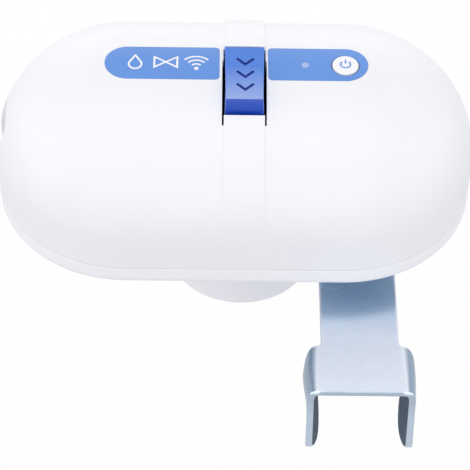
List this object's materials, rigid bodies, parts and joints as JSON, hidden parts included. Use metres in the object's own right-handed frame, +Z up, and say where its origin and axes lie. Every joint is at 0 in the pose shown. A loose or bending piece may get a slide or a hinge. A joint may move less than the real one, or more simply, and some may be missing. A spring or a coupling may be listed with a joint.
{
  "type": "smart valve controller",
  "caption": "White motor unit with round ends, a blue press lever and a sheet-metal fork that turns a hand valve's lever through a quarter turn.",
  "frame": {"origin": "centre of the collar's socket at the collar's lower face", "axes": "+X to the right along the body, +Y to the back, +Z up along the socket's axis"},
  "size_m": [0.1292, 0.1011, 0.0829],
  "materials": {
    "cover_white": "satin",
    "base_white": "satin",
    "label_blue": "matte",
    "lever_blue": "satin",
    "lens_clear": "clear",
    "button_white": "satin",
    "zinc": "satin",
    "steel": "satin",
    "motor_steel": "satin",
    "brass": "satin",
    "bronze": "matte",
    "black_plastic": "matte",
    "rubber": "matte",
    "board_green": "satin",
    "gear_white": "satin",
    "plunger_grey": "satin",
    "cam_orange": "satin"
  },
  "bodies": {
    "housing": {"upper_cover": "cover_white", "lower_base": "base_white", "cover_gasket": "rubber", "cover_screws": "steel", "left_label": "label_blue", "right_label": "label_blue", "indicator_lens": "lens_clear", "lever_pin": "steel", "plunger_spring": "steel", "control_board": "board_green", "board_screws": "steel", "tact_switch": "black_plastic", "status_led": "lens_clear", "radio_module": "motor_steel", "dc_inlet": "black_plastic", "motor": "motor_steel", "motor_screws": "steel", "gear_axles": "steel", "gear_plate": "zinc", "plate_screws": "steel", "output_bush": "bronze", "shaft_seal": "rubber", "position_switches": "black_plastic"},
    "output": {"output_shaft": "steel", "output_gear": "steel", "position_cam": "cam_orange", "shaft_clip": "steel", "handle_fork": "zinc", "fork_screws": "steel"},
    "lever": {"release_lever": "lever_blue"},
    "plunger": {"release_plunger": "plunger_grey"},
    "button": {"set_button": "button_white"},
    "pinion": {"motor_pinion": "brass"},
    "first_stage": {"first_gear": "gear_white"},
    "second_stage": {"second_gear": "gear_white"}
  },
  "joints": [
    {"name": "output_turn", "type": "hinge", "parent": "housing", "child": "output", "pos_m": [0.0316, 0, 0.0265], "axis": [0, 0, 1], "range_deg": [0, 90]},
    {"name": "lever_press", "type": "hinge", "parent": "housing", "child": "lever", "pos_m": [0, 0.0095, 0.06708], "axis": [1, 0, 0], "range_deg": [0, 9]},
    {"name": "plunger_slide", "type": "slide", "parent": "housing", "child": "plunger", "axis": [0, 0, -1], "range_m": [0, 0.00335], "stiffness_N_per_m": 1150, "springref_m": -0.0005, "deforming": ["plunger_spring"]},
    {"name": "button_press", "type": "slide", "parent": "housing", "child": "button", "axis": [0, 0, -1], "range_m": [0, 0.0006], "stiffness_N_per_m": 800},
    {"name": "second_turn", "type": "hinge", "parent": "housing", "child": "second_stage", "pos_m": [0.00769, 0.00731, 0.0265], "axis": [0, 0, 1], "range_deg": [-235, 5]},
    {"name": "first_turn", "type": "hinge", "parent": "housing", "child": "first_stage", "pos_m": [-0.01413, 0.01237, 0.0265], "axis": [0, 0, 1], "range_deg": [-5, 700]},
    {"name": "pinion_turn", "type": "hinge", "parent": "housing", "child": "pinion", "pos_m": [-0.0311, 0, 0.0265], "axis": [0, 0, 1], "range_deg": [-2785, 5]}
  ],
  "couplings": [
    {"joint": "second_turn", "follows": "output_turn", "ratio": -2.5714},
    {"joint": "first_turn", "follows": "output_turn", "ratio": 7.7143},
    {"joint": "pinion_turn", "follows": "output_turn", "ratio": -30.857},
    {"joint": "lever_press", "follows": "plunger_slide", "rad_per_m": 46.512}
  ]
}
